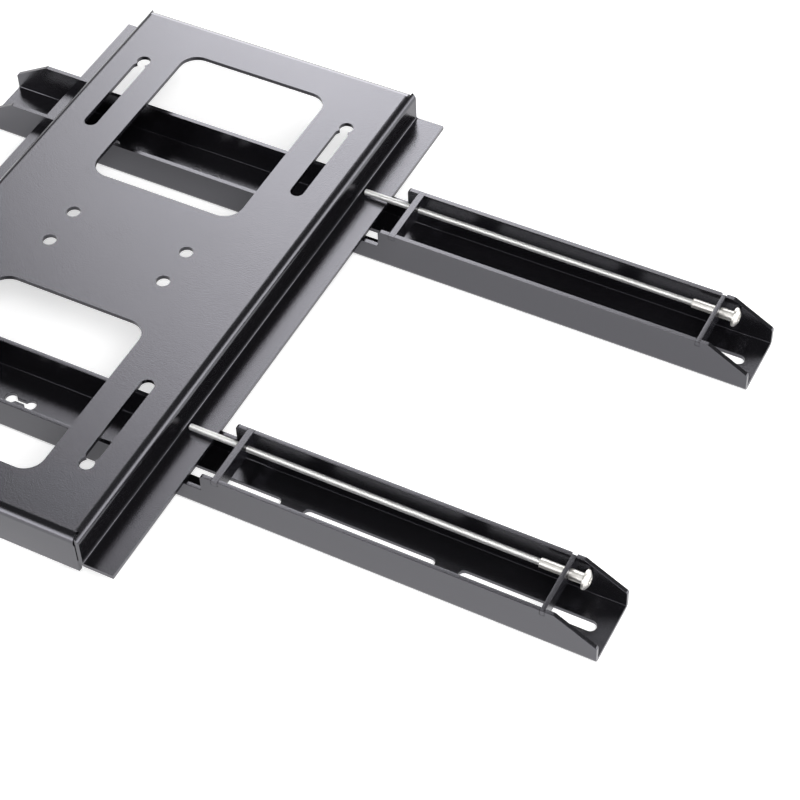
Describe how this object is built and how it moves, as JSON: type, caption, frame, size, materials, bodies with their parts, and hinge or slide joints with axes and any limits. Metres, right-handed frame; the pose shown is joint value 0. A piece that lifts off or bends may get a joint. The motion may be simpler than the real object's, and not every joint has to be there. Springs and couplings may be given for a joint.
{
  "type": "tv_wall_mount",
  "caption": "Heavy-duty fixed wall mount for a large flat screen: a folded slotted wall plate and channel-section screen arms that hook over its lips and lock with long screws",
  "frame": {"origin": "centre of the footprint on the screen side: the middle of the arms' length, the middle of the wall plate's length, at the level of the arms' bases", "axes": "+Z points to the wall; +Y runs along the arms and is up when the mount hangs on a wall; +X runs along the wall plate"},
  "size_m": [0.6, 0.8, 0.0584],
  "materials": {
    "black_powder": "satin black powder coat with a very fine texture",
    "bright_zinc": "bright zinc plate on a fine rolled thread",
    "nickel": "bright nickel plate, turned"
  },
  "bodies": {
    "plate": {"wall_plate": "black_powder"},
    "near_arm": {"near_arm_channel": "black_powder", "near_threaded_plate": "black_powder", "near_end_plate": "black_powder"},
    "near_rod": {"near_locking_rod": "bright_zinc"},
    "near_nut": {"near_sleeve_nut": "nickel"},
    "far_arm": {"far_arm_channel": "black_powder", "far_threaded_plate": "black_powder", "far_end_plate": "black_powder"},
    "far_rod": {"far_locking_rod": "bright_zinc"},
    "far_nut": {"far_sleeve_nut": "nickel"}
  },
  "joints": [
    {"name": "near_arm_slide", "type": "slide", "parent": "plate", "child": "near_arm", "axis": [1, 0, 0], "range_m": [-0.105, 0.125]},
    {"name": "near_rod_feed", "type": "slide", "parent": "near_arm", "child": "near_rod", "axis": [0, 1, 0], "range_m": [-0.0261, 0.0056]},
    {"name": "near_nut_turn", "type": "hinge", "parent": "near_rod", "child": "near_nut", "pos_m": [-0.1378, -0.3234, 0.0325], "axis": [0, 1, 0], "range_deg": [-9400, 2020]},
    {"name": "far_arm_slide", "type": "slide", "parent": "plate", "child": "far_arm", "axis": [1, 0, 0], "range_m": [-0.125, 0.097]},
    {"name": "far_rod_feed", "type": "slide", "parent": "far_arm", "child": "far_rod", "axis": [0, 1, 0], "range_m": [-0.0261, 0.0056]},
    {"name": "far_nut_turn", "type": "hinge", "parent": "far_rod", "child": "far_nut", "pos_m": [0.1819, -0.3234, 0.0325], "axis": [0, 1, 0], "range_deg": [-9400, 2020]}
  ],
  "couplings": [
    {"joint": "near_nut_turn", "follows": "near_rod_feed", "rad_per_m": 6283.2},
    {"joint": "far_nut_turn", "follows": "far_rod_feed", "rad_per_m": 6283.2}
  ]
}
